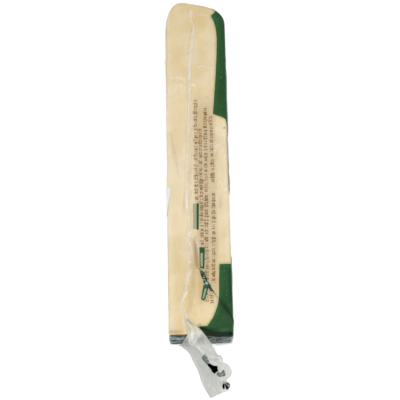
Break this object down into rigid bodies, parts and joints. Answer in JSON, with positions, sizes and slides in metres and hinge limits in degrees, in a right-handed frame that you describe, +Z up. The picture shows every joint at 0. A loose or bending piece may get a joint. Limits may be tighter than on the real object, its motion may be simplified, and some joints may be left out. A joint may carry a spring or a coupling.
{
  "type": "vacuum-packed pecorino romano wedge",
  "caption": "Long thin wedge of pale hard sheep's-milk cheese with a dark rind end, sealed tight in clear film with printed fields, a lengthwise seam and a loose crumpled tail.",
  "frame": {"origin": "middle of the cut face that the wedge lies on", "axes": "+Z up, +Y along the wedge towards its thin end, +X across the slab towards its printed side"},
  "size_m": [0.0284, 0.1822, 0.0526],
  "materials": {
    "cheese_in_film": "pale cream cheese under tight glossy film",
    "clear_film": "thin clear film, glossy, slightly hazy where it creases"
  },
  "bodies": {
    "root": {"sealed_pack": "cheese_in_film"}
  },
  "joints": []
}
